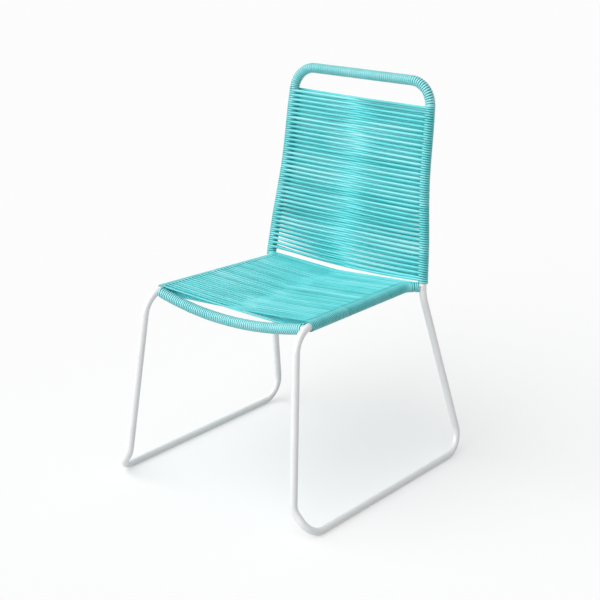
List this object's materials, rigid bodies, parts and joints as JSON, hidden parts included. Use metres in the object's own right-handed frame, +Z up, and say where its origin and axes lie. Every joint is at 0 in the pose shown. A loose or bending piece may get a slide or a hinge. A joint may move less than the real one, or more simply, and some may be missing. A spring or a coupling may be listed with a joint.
{
  "type": "patio chair",
  "caption": "Stacking patio side chair: sled frame of bent round tube, with a seat and a back strung closely with cord.",
  "frame": {"origin": "on the floor, under the middle of the chair's bounding box", "axes": "+Z up; the sitter faces -Y; +X to the right as seen from the front, across the chair; the chair is symmetric left to right about X = 0"},
  "size_m": [0.542, 0.5622, 0.8416],
  "materials": {
    "frame_paint": "smooth white powder coat, satin",
    "cord": "turquoise extruded plastic cord, soft sheen"
  },
  "bodies": {
    "root": {"left_side_frame": "frame_paint", "left_joint_sleeve": "frame_paint", "right_side_frame": "frame_paint", "right_joint_sleeve": "frame_paint", "back_hoop": "frame_paint", "front_crossbar": "frame_paint", "front_crossbar_winding": "cord", "top_bar_winding": "cord", "left_upright_end_turns": "cord", "left_rail_front_turns": "cord", "left_rail_rear_turns": "cord", "right_upright_end_turns": "cord", "right_rail_front_turns": "cord", "right_rail_rear_turns": "cord", "back_cord": "cord", "seat_cord": "cord"}
  },
  "joints": []
}
